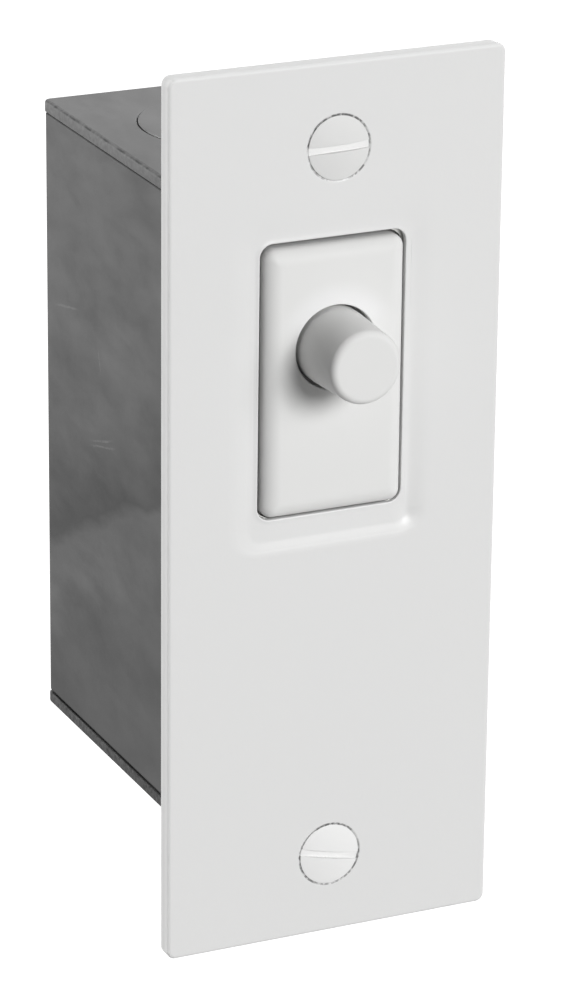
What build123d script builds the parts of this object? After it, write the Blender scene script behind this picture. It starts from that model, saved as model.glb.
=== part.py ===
from build123d import *
import os
from math import hypot

# Door jamb switch for a closet light: a pressed faceplate on a mortised steel box, with a plunger
# that the door pushes in. Millimetres; x to the right, y into the jamb, z up. The origin is the
# centre of the faceplate's rim, on the face of the jamb. Front faces look along -y.

# Insert moulding that shows in the window of the faceplate
insert_width = 18.5
insert_height = 34.2
insert_corner_radius = 1.7
insert_edge_radius = 1.1
insert_proud = 1.1
insert_wall = 2.0
insert_inner_radius = 0.7
insert_raise = 17.5
insert_shift = -0.5

# Plunger
plunger_raise = 4.15
plunger_radius = 5.1
plunger_tip_radius = 4.65
plunger_tip_rounding = 0.9
plunger_projection = 8.8
plunger_clearance = 0.3
plunger_travel = 6.5
collar_lip = 1.15
collar_thickness = 1.6
collar_gap = 0.1
collar_side_gap = 1.0
stem_radius = 2.75
neck_width = 3.4
neck_tail = 1.8
neck_clearance = 0.05

# Contacts: the bridge rests on the fixed points while the door is open
travel_clearance = 0.6
contact_radius = 1.4
contact_height = 0.6
contact_shank_radius = 0.7
contact_seat = 0.02
bridge_overhang = 2.2
bridge_end_gap = 0.7
bridge_width = 6.0
bridge_corner_radius = 1.2
bridge_thickness = 1.0
retainer_radius = 4.1
retainer_thickness = 0.8

# Terminals and their screws
strip_thickness = 0.8
strip_width = 7.0
strip_clearance = 0.05
strip_inset = 2.2
strip_bend_radius = 0.7
terminal_leg = 13.0
terminal_screw_set = 8.6
terminal_screw_radius = 1.7
terminal_head_radius = 3.1
terminal_head_height = 1.6
terminal_head_dome = 0.5
terminal_slot_width = 0.9
terminal_slot_depth = 0.8
terminal_tip_gap = 0.2

# Return spring
spring_radius = 2.95
spring_wire_radius = 0.32
spring_length = 14.0
spring_turns = 6.5
spring_seat_gap = 0.02
post_radius = 1.9
post_height = 3.0

# Switch body: flange of the insert, and the base that closes it from behind
switch_side = 1.85
switch_corner_radius = 1.5
cover_flange = 2.0
base_flange = 3.0
base_wall = 2.0
base_floor = 2.2
guide_rib_width = 1.2
guide_rib_height = 2.0
guide_clearance = 0.3

# Rivets that hold the switch body to the strap
rivet_radius = 1.25
rivet_clearance = 0.03
rivet_head_radius = 1.7
rivet_land = 0.3
rivet_end_wall = 1.2
rivet_tail_radius = 2.1
rivet_tail_height = 0.7
rivet_tail_clearance = 0.5

# Mounting strap
strap_thickness = 1.05
strap_rail = 3.15
strap_gap = 0.05
strap_corner_radius = 1.5
tongue_rail = 2.6
cup_clearance = 0.3

# Faceplate, pressed from sheet
plate_sheet = 0.8
plate_side_margin = 3.975
plate_end_margin = 10.7
plate_corner_radius = 1.5
plate_inner_radius = 0.7
plate_edge_radius = 0.9
window_gap = 0.5

# Sunk panel round the window: how far its brim and its foot lie beyond the window
panel_depth = 0.4
brim_side = 4.2
brim_upper = 6.2
brim_lower = 4.8
brim_corner_radius = 4.5
foot_side = 0.8
foot_upper = 0.6
foot_lower = 2.8
foot_corner_radius = 1.6

# Faceplate screws, slotted oval heads
screw_setback = 4.75
screw_head_radius = 4.1
screw_head_dome = 0.55
screw_shank_radius = 2.08
screw_length = 12.7
screw_tip_chamfer = 0.6
screw_slot_width = 1.05
screw_slot_depth = 0.9
screw_seat_gap = 0.05
screw_tip_gap = 0.1
upper_slot_tilt = 1.8
lower_slot_tilt = -12.3

# Box: two end plates, and a body bent from lighter sheet
end_sheet = 1.6
end_bend_radius = 0.8
end_corner_radius = 0.4
body_sheet = 1.1
body_bend_radius = 0.4
box_edge_radius = 0.4
box_end_clearance = 0.55
box_side_clearance = 3.65
box_mouth_setback = 0.3
wiring_depth = 19.1
tab_width = 3.4
tab_setback = 6.0

# Ears of the box ends
ear_width = 30.0
ear_reach = 12.0
ear_corner_radius = 4.0
anchor_hole_radius = 2.25
anchor_side = 11.0
anchor_beyond_screw = 2.8

# Knockouts in the box ends
knockout_radius = 12.3
knockout_set = 19.1
knockout_groove = 0.3
knockout_web = 0.6
knockout_raise = 0.3

# Depths, front to back
plate_depth = plate_sheet + panel_depth + strap_gap + strap_thickness
plate_front = -plate_depth
insert_front = plate_front - insert_proud
plunger_front = insert_front - plunger_projection
collar_front = insert_front + insert_wall + collar_gap
collar_back = collar_front + collar_thickness
strip_front = collar_back + plunger_travel + travel_clearance
strip_back = strip_front + strip_thickness
bridge_front = strip_back + 2 * contact_height + contact_seat
bridge_back = bridge_front + bridge_thickness
retainer_back = bridge_back + retainer_thickness
base_floor_face = retainer_back + spring_length
base_back = base_floor_face + base_floor
base_flange_back = cover_flange + base_flange
box_back = base_back + wiring_depth + body_sheet

# Heights
plunger_height = insert_raise + plunger_raise
rivet_offset = insert_height / 2 + window_gap + rivet_land + rivet_head_radius
switch_length = 2 * (rivet_offset + rivet_radius + rivet_end_wall)
base_length = 2 * (rivet_offset - rivet_tail_radius - rivet_tail_clearance)
box_height = 2 * (insert_raise + switch_length / 2 + box_end_clearance + end_sheet)
screw_height = box_height / 2 + screw_setback
plate_height = 2 * (screw_height + plate_end_margin)

# Widths
switch_width = insert_width + 2 * switch_side
terminal_face = switch_width / 2 + strip_thickness
terminal_head_face = terminal_face + terminal_head_height
box_width = 2 * (terminal_head_face + box_side_clearance + body_sheet)
plate_width = box_width + 2 * plate_side_margin
bridge_length = switch_width - 2 * (base_wall + bridge_end_gap)
contact_spread = bridge_length / 2 - bridge_overhang
collar_room = 2 * (plunger_radius + collar_lip + collar_side_gap)

# Seat of a faceplate screw: the slope of its cone, and the sheet that is pressed round it
cone_slope = (screw_head_radius - screw_shank_radius) / (plate_depth - screw_tip_gap)
cup_wall = plate_sheet * hypot(1, cone_slope)


def layer(outline, front, back):
    # An outline seen from the front, as thick as the space between two depths
    return extrude(Plane.XZ.offset(-back) * outline, amount=back - front)


def turned(outline, height):
    # A half section of radius and depth, turned about an axis along y
    return Pos(0, 0, height) * revolve(outline, Axis.Y)


def half_section(*points):
    return make_face(Polyline(*points, close=True))


def insert_outline(margin, radius):
    return Pos(0, insert_raise) * RectangleRounded(
        insert_width + 2 * margin, insert_height + 2 * margin, radius
    )


def window_outline():
    # The window follows the insert, which sits a little off the plate's middle line
    outline = insert_outline(window_gap, insert_corner_radius + window_gap)
    return Pos(insert_shift, 0) * outline


def switch_outline(length):
    return Pos(0, insert_raise) * RectangleRounded(switch_width, length, switch_corner_radius)


def rivet_places():
    return [insert_raise + rivet_offset, insert_raise - rivet_offset]


def rivet_holes():
    radius = rivet_radius + rivet_clearance
    return Sketch() + [Pos(0, height) * Circle(radius) for height in rivet_places()]


def cup_radius(depth):
    # Outer radius of the pressed cup round a screw head, at a depth
    rim = screw_head_radius + screw_seat_gap + cup_wall
    return rim - cone_slope * (depth - plate_front)


def panel_outline(side, upper, lower, radius):
    # The window, grown by its own margin at the sides, at the top and at the bottom
    width = insert_width + 2 * (window_gap + side)
    height = insert_height + 2 * window_gap + upper + lower
    middle = insert_raise + (upper - lower) / 2
    return Pos(insert_shift, middle) * RectangleRounded(width, height, radius)


def panel_tool(front):
    # The sunk panel: a shallow tray with long slopes, steepest below the window
    brim = panel_outline(brim_side, brim_upper, brim_lower, brim_corner_radius)
    foot = panel_outline(foot_side, foot_upper, foot_lower, foot_corner_radius)
    return loft([Plane.XZ.offset(-front) * brim, Plane.XZ.offset(-front - panel_depth) * foot])


def faceplate():
    outline = RectangleRounded(plate_width, plate_height, plate_corner_radius)
    plate = layer(outline, plate_front, 0)
    plate = fillet(plate.faces().sort_by(Axis.Y)[0].edges(), plate_edge_radius)
    inner_width = plate_width - 2 * plate_sheet
    inner_height = plate_height - 2 * plate_sheet
    inner = RectangleRounded(inner_width, inner_height, plate_inner_radius)
    plate -= layer(inner, plate_front + plate_sheet, 0)
    plate += panel_tool(plate_front + plate_sheet)
    plate -= panel_tool(plate_front)
    plate -= layer(window_outline(), plate_front, 0)
    cup = half_section(
        (0, plate_front),
        (cup_radius(plate_front), plate_front),
        (cup_radius(-screw_tip_gap), -screw_tip_gap),
        (0, -screw_tip_gap),
    )
    seat = half_section(
        (0, plate_front),
        (screw_head_radius + screw_seat_gap, plate_front),
        (screw_shank_radius + screw_seat_gap, -screw_tip_gap),
        (0, -screw_tip_gap),
    )
    for height in (screw_height, -screw_height):
        plate += turned(cup, height)
        plate -= turned(seat, height)
    return plate


def faceplate_screw(height, tilt):
    top = plate_front - screw_head_dome
    edge = Polyline(
        (screw_head_radius, plate_front),
        (screw_shank_radius, -screw_tip_gap),
        (screw_shank_radius, plate_front + screw_length - screw_tip_chamfer),
        (screw_shank_radius - screw_tip_chamfer, plate_front + screw_length),
        (0, plate_front + screw_length),
        (0, top),
    )
    rise = dome_radius(screw_head_radius, screw_head_dome)
    dome = RadiusArc((0, top), (screw_head_radius, plate_front), -rise)
    screw = revolve(make_face(edge.edges() + dome.edges()), Axis.Y)
    slot = Rectangle(2 * (screw_head_radius + screw_head_dome), screw_slot_width)
    slot = layer(slot, top - screw_head_dome, top + screw_slot_depth)
    return Pos(0, 0, height) * (screw - Rot(0, -tilt, 0) * slot)


def dome_radius(radius, rise):
    # Radius of the arc over a chord of twice the radius
    return (radius**2 + rise**2) / (2 * rise)


def faceplate_screws():
    upper = faceplate_screw(screw_height, upper_slot_tilt)
    lower = faceplate_screw(-screw_height, lower_slot_tilt)
    return [upper, lower]


def mounting_strap():
    hole_radius = cup_radius(-strap_thickness) + cup_clearance
    tongue_length = 2 * (screw_height + hole_radius + tongue_rail)
    shoulder = 2 * (insert_raise + switch_length / 2)
    bar = RectangleRounded(insert_width + 2 * (window_gap + strap_rail), shoulder, strap_corner_radius)
    bar += RectangleRounded(2 * (hole_radius + tongue_rail), tongue_length, strap_corner_radius)
    bar -= window_outline()
    for height in (screw_height, -screw_height):
        bar -= Pos(0, height) * Circle(hole_radius)
    strap = layer(bar, -strap_thickness, 0)
    for height in rivet_places():
        strap -= Pos(insert_shift, 0, 0) * turned(rivet_section(rivet_clearance), height)
    return strap


def rivet_section(grow):
    # Countersunk head flush with the strap, shank, and a formed tail behind the base
    sink = rivet_head_radius - rivet_radius
    shank = rivet_radius + grow
    return half_section(
        (0, -strap_thickness),
        (rivet_head_radius + grow, -strap_thickness),
        (shank, sink - strap_thickness),
        (shank, base_flange_back),
        (0, base_flange_back),
    )


def strap_rivet(height):
    tail = half_section(
        (0, base_flange_back),
        (rivet_tail_radius, base_flange_back),
        (rivet_radius, base_flange_back + rivet_tail_height),
        (0, base_flange_back + rivet_tail_height),
    )
    return turned(rivet_section(0), height) + turned(tail, height)


def strap_rivets():
    return [strap_rivet(height) for height in rivet_places()]


def switch_cover():
    nose = layer(insert_outline(0, insert_corner_radius), insert_front, 0)
    nose = fillet(nose.faces().sort_by(Axis.Y)[0].edges(), insert_edge_radius)
    cover = nose + layer(switch_outline(switch_length) - rivet_holes(), 0, cover_flange)
    room = RectangleRounded(collar_room, insert_height - 2 * insert_wall, insert_inner_radius)
    cover -= layer(Pos(0, insert_raise) * room, insert_front + insert_wall, cover_flange)
    bore = Pos(0, plunger_height) * Circle(plunger_radius + plunger_clearance)
    return cover - layer(bore, insert_front, insert_front + insert_wall)


def switch_base():
    base = layer(switch_outline(switch_length) - rivet_holes(), cover_flange, base_flange_back)
    base += layer(switch_outline(base_length), cover_flange, base_back)
    cavity = Pos(0, insert_raise) * Rectangle(switch_width - 2 * base_wall, base_length - 2 * base_wall)
    base -= layer(cavity, cover_flange, base_floor_face)
    post = Pos(0, plunger_height) * Circle(post_radius)
    base += layer(post, base_floor_face - post_height, base_floor_face)
    rib_side = switch_width / 2 - base_wall - guide_rib_height / 2
    rib_offset = bridge_width / 2 + guide_clearance + guide_rib_width / 2
    slot_height = strip_width + 2 * strip_clearance
    slot_front = strip_front - strip_clearance
    slot_back = strip_back + strip_clearance
    for side in (1, -1):
        for end in (1, -1):
            rib = Rectangle(guide_rib_height, guide_rib_width)
            rib_place = Pos(side * rib_side, plunger_height + end * rib_offset)
            base += layer(rib_place * rib, bridge_front, base_floor_face)
        slot_place = Pos(side * (switch_width - base_wall) / 2, plunger_height)
        base -= layer(slot_place * Rectangle(base_wall, slot_height), slot_front, slot_back)
        base -= terminal_hole(side)
    return base


def terminal_hole(side):
    # Hole for a terminal screw, along x, through the strip and the wall of the base
    place = Pos(side * switch_width / 2, strip_front + terminal_screw_set, plunger_height)
    drill = Cylinder(terminal_screw_radius + strip_clearance, 2 * (base_wall + strip_thickness))
    return place * Rot(0, 90, 0) * drill


def plunger():
    outline = half_section(
        (0, plunger_front),
        (plunger_tip_radius, plunger_front),
        (plunger_radius, insert_front),
        (plunger_radius, collar_front),
        (plunger_radius + collar_lip, collar_front),
        (plunger_radius + collar_lip, collar_back),
        (stem_radius, collar_back),
        (stem_radius, bridge_front),
        (0, bridge_front),
    )
    body = revolve(outline, Axis.Y)
    body = fillet(body.faces().sort_by(Axis.Y)[0].edges(), plunger_tip_rounding)
    body += layer(Rectangle(neck_width, neck_width), bridge_front, retainer_back + neck_tail)
    return Pos(0, 0, plunger_height) * body


def neck_hole():
    width = neck_width + 2 * neck_clearance
    return Rectangle(width, width)


def contact_bridge():
    bar = RectangleRounded(bridge_length, bridge_width, bridge_corner_radius) - neck_hole()
    for side in (contact_spread, -contact_spread):
        bar -= Pos(side, 0) * Circle(contact_shank_radius)
    return layer(Pos(0, plunger_height) * bar, bridge_front, bridge_back)


def bridge_retainer():
    washer = Circle(retainer_radius) - neck_hole()
    return layer(Pos(0, plunger_height) * washer, bridge_back, retainer_back)


def contact_point(side, seat, face, tail):
    # A contact rivet: its button stands from the seat to the face, and its shank fills the hole
    place = Pos(side, plunger_height)
    button = layer(place * Circle(contact_radius), min(seat, face), max(seat, face))
    return button + layer(place * Circle(contact_shank_radius), min(seat, tail), max(seat, tail))


def moving_contacts():
    face = bridge_front - contact_height
    places = (contact_spread, -contact_spread)
    return [contact_point(side, bridge_front, face, bridge_back) for side in places]


def fixed_contacts():
    face = strip_back + contact_height
    places = (contact_spread, -contact_spread)
    return [contact_point(side, strip_back, face, strip_front) for side in places]


def terminal(side):
    inner = contact_spread - strip_inset
    outer = terminal_face
    path = [
        (side * inner, strip_front),
        (side * outer, strip_front),
        (side * outer, strip_front + terminal_leg),
        (side * (outer - strip_thickness), strip_front + terminal_leg),
        (side * (outer - strip_thickness), strip_back),
        (side * inner, strip_back),
    ]
    strip = extrude(make_face(Polyline(*path, close=True)), amount=strip_width / 2, both=True)
    strip = Pos(0, 0, plunger_height) * strip
    front_edges = strip.edges().filter_by(Axis.Z).group_by(Axis.Y)[0]
    strip = fillet(front_edges.sort_by(lambda edge: side * edge.center().X)[-1], strip_bend_radius)
    point = Pos(side * contact_spread, plunger_height) * Circle(contact_shank_radius)
    strip -= layer(point, strip_front, strip_back)
    return strip - terminal_hole(side)


def terminal_screw(side):
    shank = strip_thickness + base_wall - terminal_tip_gap
    flat = terminal_head_height - terminal_head_dome
    edge = Polyline(
        (0, terminal_head_height),
        (0, -shank),
        (terminal_screw_radius, -shank),
        (terminal_screw_radius, 0),
        (terminal_head_radius, 0),
        (terminal_head_radius, flat),
    )
    rise = dome_radius(terminal_head_radius, terminal_head_dome)
    dome = RadiusArc((terminal_head_radius, flat), (0, terminal_head_height), -rise)
    screw = revolve(make_face(edge.edges() + dome.edges()), Axis.Y)
    slot_length = 2 * (terminal_head_radius + terminal_head_dome)
    slot = Box(slot_length, terminal_slot_depth, terminal_slot_width)
    screw -= Pos(0, terminal_head_height - terminal_slot_depth / 2, 0) * slot
    place = Pos(side * terminal_face, strip_front + terminal_screw_set, plunger_height)
    return place * Rot(0, 0, -90 * side) * screw


def terminal_screws():
    return [terminal_screw(1), terminal_screw(-1)]


def return_spring():
    start = retainer_back + spring_wire_radius + spring_seat_gap
    rise = spring_length - 2 * (spring_wire_radius + spring_seat_gap)
    coil = Helix(rise / spring_turns, rise, spring_radius)
    wire = sweep(Plane(coil @ 0, z_dir=coil % 0) * Circle(spring_wire_radius), coil, is_frenet=True)
    return Pos(0, start, plunger_height) * Rot(-90, 0, 0) * wire


def box_body():
    inner_height = box_height - 2 * end_sheet
    outer_bend = body_bend_radius + body_sheet
    mouth = box_mouth_setback
    outer = Pos(0, (mouth + box_back) / 2) * Rectangle(box_width, box_back - mouth)
    outer = fillet(outer.vertices().sort_by(Axis.Y)[-2:], outer_bend)
    hollow = Pos(0, (mouth + box_back - body_sheet) / 2) * Rectangle(
        box_width - 2 * body_sheet, box_back - body_sheet - mouth
    )
    hollow = fillet(hollow.vertices().sort_by(Axis.Y)[-2:], body_bend_radius)
    channel = extrude(outer, amount=inner_height / 2, both=True)
    edges = channel.faces().filter_by(Axis.Z).edges()
    rim = [edge for edge in edges if edge.center().Y > mouth + box_edge_radius]
    channel = fillet(rim, box_edge_radius)
    channel -= extrude(hollow, amount=inner_height / 2, both=True)
    tab_length = box_back - outer_bend - 2 * tab_setback
    for side in (1, -1):
        for end in (1, -1):
            tab = Box(tab_width, tab_length, body_sheet)
            channel += Pos(
                side * (box_width / 2 - body_sheet - tab_width / 2),
                tab_setback + tab_length / 2,
                end * (inner_height - body_sheet) / 2,
            ) * tab
    return channel


def box_end_upper():
    outside = box_height / 2
    inside = outside - end_sheet
    bend = end_sheet + end_bend_radius
    top = outside + ear_reach
    with BuildPart() as end:
        with BuildSketch(Plane.YZ):
            with BuildLine():
                Line((bend, inside), (box_back, inside))
                Line((box_back, inside), (box_back, outside))
                Line((box_back, outside), (bend, outside))
                RadiusArc((bend, outside), (end_sheet, outside + end_bend_radius), end_bend_radius)
                Line((end_sheet, outside + end_bend_radius), (end_sheet, top))
                Line((end_sheet, top), (0, top))
                Line((0, top), (0, outside + end_bend_radius))
                RadiusArc((0, outside + end_bend_radius), (bend, inside), -bend)
            make_face()
        extrude(amount=box_width / 2, both=True)
    plate = end.part
    strip = (box_width - ear_width) / 2
    for side in (1, -1):
        trim = Box(strip, bend, ear_reach + end_sheet, align=(Align.CENTER, Align.MIN, Align.MIN))
        plate -= Pos(side * (box_width - strip) / 2, 0, inside) * trim
    ear_corners = plate.edges().filter_by(Axis.Y).group_by(Axis.Z)[-1]
    plate = fillet(ear_corners, ear_corner_radius)
    back_corners = plate.edges().filter_by(Axis.Z).group_by(Axis.Y)[-1]
    plate = fillet(back_corners, end_corner_radius)
    holes = Pos(0, screw_height) * Circle(screw_shank_radius + screw_seat_gap)
    for side in (anchor_side, -anchor_side):
        holes += Pos(side, screw_height + anchor_beyond_screw) * Circle(anchor_hole_radius)
    plate -= layer(holes, 0, end_sheet)
    return knocked(plate, outside)


def knocked(plate, outside):
    # A round slug, sheared all round, left a little proud and held by a thin web at the inner face
    place = Pos(0, box_back - knockout_set, outside)
    slug = Circle(knockout_radius - knockout_groove)
    plate -= place * extrude(Circle(knockout_radius) - slug, amount=knockout_web - end_sheet)
    return plate + place * extrude(slug, amount=knockout_raise)


def switch_parts():
    return {
        "strap_rivets": strap_rivets(),
        "switch_cover": [switch_cover()],
        "switch_base": [switch_base()],
        "plunger": [plunger()],
        "contact_bridge": [contact_bridge()],
        "bridge_retainer": [bridge_retainer()],
        "moving_contacts": moving_contacts(),
        "fixed_contacts": fixed_contacts(),
        "terminal_left": [terminal(-1)],
        "terminal_right": [terminal(1)],
        "terminal_screws": terminal_screws(),
        "return_spring": [return_spring()],
    }


def build():
    parts = {
        "faceplate": [faceplate()],
        "faceplate_screws": faceplate_screws(),
        "mounting_strap": [mounting_strap()],
        "box_body": [box_body()],
        "box_end_upper": [box_end_upper()],
        "box_end_lower": [mirror(box_end_upper(), about=Plane.XY)],
    }
    for name, solids in switch_parts().items():
        parts[name] = [Pos(insert_shift, 0, 0) * solid for solid in solids]
    return parts


os.makedirs("parts", exist_ok=True)
for name, solids in build().items():
    shape = solids[0] if len(solids) == 1 else Compound(children=solids)
    export_step(shape, f"parts/{name}.step")
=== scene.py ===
import math

import bmesh
import bpy
import numpy as np
from mathutils import Matrix, Vector
from mathutils.geometry import delaunay_2d_cdt


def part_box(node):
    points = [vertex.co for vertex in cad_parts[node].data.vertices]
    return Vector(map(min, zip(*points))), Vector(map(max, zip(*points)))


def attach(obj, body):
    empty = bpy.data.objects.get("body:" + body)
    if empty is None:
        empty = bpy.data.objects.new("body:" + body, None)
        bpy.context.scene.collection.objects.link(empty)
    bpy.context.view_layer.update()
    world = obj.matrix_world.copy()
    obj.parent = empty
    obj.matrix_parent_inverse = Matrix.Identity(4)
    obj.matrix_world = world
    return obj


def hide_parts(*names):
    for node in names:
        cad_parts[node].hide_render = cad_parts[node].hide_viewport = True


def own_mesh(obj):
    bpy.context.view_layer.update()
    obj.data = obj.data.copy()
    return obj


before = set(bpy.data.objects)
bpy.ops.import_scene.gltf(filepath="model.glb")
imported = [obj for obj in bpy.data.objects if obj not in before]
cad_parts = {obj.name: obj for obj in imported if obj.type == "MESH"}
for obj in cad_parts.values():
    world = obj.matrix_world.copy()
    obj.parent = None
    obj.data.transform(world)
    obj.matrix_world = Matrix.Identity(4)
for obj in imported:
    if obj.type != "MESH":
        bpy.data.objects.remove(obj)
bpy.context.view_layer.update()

# Door jamb switch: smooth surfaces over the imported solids, finishes, light and camera.
# x to the right, y into the jamb, z up. Shapes are worked out in mm and turned to metres in Shell.build.

mm = 0.001
sharpAngle = 34
scene = bpy.context.scene


def corners(node):
    low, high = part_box(node)
    return np.array(low) / mm, np.array(high) / mm


plateLow, plateHigh = corners("faceplate")
coverLow, coverHigh = corners("switch_cover")
plungerLow, plungerHigh = corners("plunger")
bodyLow, bodyHigh = corners("box_body")
endLow, endHigh = corners("box_end_upper")
screwLow, screwHigh = corners("faceplate_screws")
springLow, springHigh = corners("return_spring")
bridgeFront = corners("contact_bridge")[0][1]

plateFront = plateLow[1]
insertFront = coverLow[1]
insertShift, insertRaise = ((coverLow + coverHigh) / 2)[[0, 2]]
plungerHeight = (plungerLow[2] + plungerHigh[2]) / 2
screwHeight = (screwHigh[2] - screwLow[2]) / 2 - (screwHigh[0] - screwLow[0]) / 2
screwHeights = (screwHeight, -screwHeight)


# Profiles and loops

def unit(value):
    return np.clip(value, 0, 1)


def arcPoints(across, along, radius, start, stop, steps=6):
    # centre plus radius times (cosine, sine), from one angle to the other in degrees
    turn = np.radians(np.linspace(start, stop, steps + 1))
    return np.stack([across + radius * np.cos(turn), along + radius * np.sin(turn)], -1)


def softCorner(first, corner, last, steps=6):
    # quadratic curve that leaves first towards the corner and reaches last from it
    t = np.linspace(0, 1, steps + 1)[:, None]
    first, corner, last = (np.array(p, float) for p in (first, corner, last))
    return (1 - t) ** 2 * first + 2 * t * (1 - t) * corner + t ** 2 * last


def chain(*runs):
    # joins the runs of a profile and drops points that repeat
    points = np.concatenate([np.atleast_2d(np.array(run, float)) for run in runs])
    apart = np.linalg.norm(np.diff(points, axis=0), axis=1) > 1e-6
    return points[np.append(True, apart)]


def sheetEdge(thick, near, far, lead, nearSteps=4, farSteps=4):
    # a sheet's edge as (offset, depth): flat lead, near rounding, far rounding, flat lead
    return chain(
        (near + lead, 0), arcPoints(near, near, near, 270, 180, nearSteps),
        arcPoints(far, thick - far, far, 180, 90, farSteps), (far + lead, thick),
    )


def roundedLoop(width, height, radius, x=0.0, z=0.0, steps=10, lead=0.25):
    # rectangle with round corners: four quarter circles with a short straight lead at both ends
    radii = np.broadcast_to(radius, 4)
    quarter = np.linspace(0, np.pi / 2, steps + 1)
    runs = []
    for k, (sideX, sideZ) in enumerate(((1, 1), (-1, 1), (-1, -1), (1, -1))):
        turn = quarter + k * np.pi / 2
        ring = radii[k] * np.stack([np.cos(turn), np.sin(turn)], -1)
        ahead = np.stack([-np.sin(turn), np.cos(turn)], -1)
        ring = np.vstack([ring[:1] - lead * ahead[:1], ring, ring[-1:] + lead * ahead[-1:]])
        runs.append(ring + [x + sideX * (width / 2 - radii[k]), z + sideZ * (height / 2 - radii[k])])
    return np.concatenate(runs)


def fullTurn(steps):
    return np.linspace(0, 2 * np.pi, steps, endpoint=False)


def circleLoop(radius, x=0.0, z=0.0, steps=72):
    # centre plus radius times (cosine, sine), once round
    turn = fullTurn(steps)
    return np.stack([x + radius * np.cos(turn), z + radius * np.sin(turn)], -1)


def frontPlace(loop, depth):
    # a loop seen from the front, at a depth
    return np.stack([loop[:, 0], np.full(len(loop), depth), loop[:, 1]], -1)


def insideLoops(spots, loops):
    # a spot is inside where a line to the right crosses the loops an odd number of times
    count = np.zeros(len(spots), int)
    for loop in loops:
        a, b = loop, np.roll(loop, -1, axis=0)
        spans = (a[:, 1] > spots[:, 1:]) != (b[:, 1] > spots[:, 1:])
        rise = np.where(a[:, 1] == b[:, 1], 1, b[:, 1] - a[:, 1])
        cut = a[:, 0] + (spots[:, 1:] - a[:, 1]) / rise * (b[:, 0] - a[:, 0])
        count += np.sum(spans & (spots[:, :1] < cut), axis=1)
    return count % 2 == 1


class Shell:
    # patches of one piece, joined in build where their points meet; a mark on the points of edges stands for wear,
    # dirt and painted light and shade there

    def __init__(self):
        self.points, self.faces, self.wear, self.total = [], [], [], 0

    def add(self, points, faces, wear=0.0):
        points = np.reshape(points, (-1, 3))
        self.points.append(points)
        self.wear.append(np.broadcast_to(np.ravel(wear), len(points)))
        self.faces += (np.asarray(faces) + self.total).tolist()
        self.total += len(points)

    def grid(self, rows, wear=0.0):
        # point (i, j) joins (i, j+1), (i+1, j+1) and (i+1, j); the last point of a row joins its first
        count, size = rows.shape[:2]
        i, j = np.arange(count - 1)[:, None], np.arange(size)[None, :]
        k = (j + 1) % size
        quads = np.stack([i * size + j, i * size + k, (i + 1) * size + k, (i + 1) * size + j], -1)
        wear = np.repeat(wear, size) if np.ndim(wear) == 1 else wear
        self.add(rows, quads.reshape(-1, 4), wear)

    def carried(self, profile, loopAt, place=frontPlace, wear=0.0):
        # a profile of (offset, depth) carried round the loop that lies at each offset
        self.grid(np.stack([place(loopAt(offset), depth) for offset, depth in profile]), wear=wear)

    def flat(self, loops, depth, place=frontPlace, bars=()):
        # the region inside the first loop and outside the others; bars are extra straight cuts
        edges, start = list(bars), 0
        for loop in loops:
            i = start + np.arange(len(loop))
            edges += np.stack([i, np.roll(i, -1)], -1).tolist()
            start += len(loop)
        made = delaunay_2d_cdt([Vector(p) for p in np.concatenate(loops)], edges, [], 0, 1e-6)
        spots, cells = np.array(made[0], float), np.array(made[2])
        inside = insideLoops(spots[cells].mean(axis=1), loops)
        self.add(place(spots, depth), cells[inside])

    def build(self, name, sharp=sharpAngle):
        # joins the patches, turns the faces outward and keeps wide angles crisp
        mesh = bpy.data.meshes.new(name)
        mesh.from_pydata(np.concatenate(self.points) * mm, [], self.faces)
        mark = mesh.attributes.new("wear", "FLOAT", "POINT")
        mark.data.foreach_set("value", np.concatenate(self.wear).astype(np.float32))
        work = bmesh.new()
        work.from_mesh(mesh)
        bmesh.ops.remove_doubles(work, verts=work.verts, dist=2e-7)
        bmesh.ops.dissolve_degenerate(work, edges=work.edges, dist=1e-8)
        bmesh.ops.recalc_face_normals(work, faces=work.faces)
        work.to_mesh(mesh)
        work.free()
        mesh.shade_smooth()
        mesh.set_sharp_from_angle(angle=math.radians(sharp))
        piece = bpy.data.objects.new(name, mesh)
        scene.collection.objects.link(piece)
        return piece


def lathe(profile, height, steps, x=0.0):
    # each (radius, depth) of the profile goes once round an axis along y
    turn = fullTurn(steps)
    radius, depth = profile[:, :1], profile[:, 1:]
    return np.stack([x + radius * np.cos(turn), depth + 0 * turn, height + radius * np.sin(turn)], -1)


def settle(piece, body, slot, *nodes):
    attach(piece, body)
    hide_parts(*nodes)
    print("made", piece.name, len(piece.data.polygons), "faces")
    return piece


# Faceplate: pressed sheet with a turned edge, a sunk panel round the window and two dished screw seats

plateShape = dict(
    sheet=0.8, corner=1.1, leastCorner=0.3, edge=0.42, rim=0.14, innerFillet=0.3, lead=0.2,
    paleBelow=0.1, leftMark=1.0, otherMark=0.4,
    windowWidth=19.5, windowHeight=35.2, windowRaise=0.26, windowCorner=1.7, windowEdge=0.16, windowBack=0.1,
    panelDepth=0.35, cornerSteps=14, slopeSteps=24, brimSoft=0.6, footSoft=0.15,
    brim=dict(side=4.2, upper=6.0, lower=4.8, radius=4.2),
    shoulder=dict(side=2.6, upper=3.0, lower=3.9, radius=2.8),
    foot=dict(side=0.8, upper=1.15, lower=2.6, radius=1.4),
    topEase=0.65, easeFrom=14.0, easeTo=36.0,
    dent=dict(x=10.1, z=-1.8, wide=1.35, below=1.15, above=2.2, depth=0.27, cut=0.02),
    lipReach=0.75, lipLeft=0.11, lipRight=0.03, lipSteps=5,
    seatRadius=4.15, seatEdge=0.22, seatTip=2.13, tipGap=0.1, cupWall=1.086, cupFillet=0.3,
)


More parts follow.
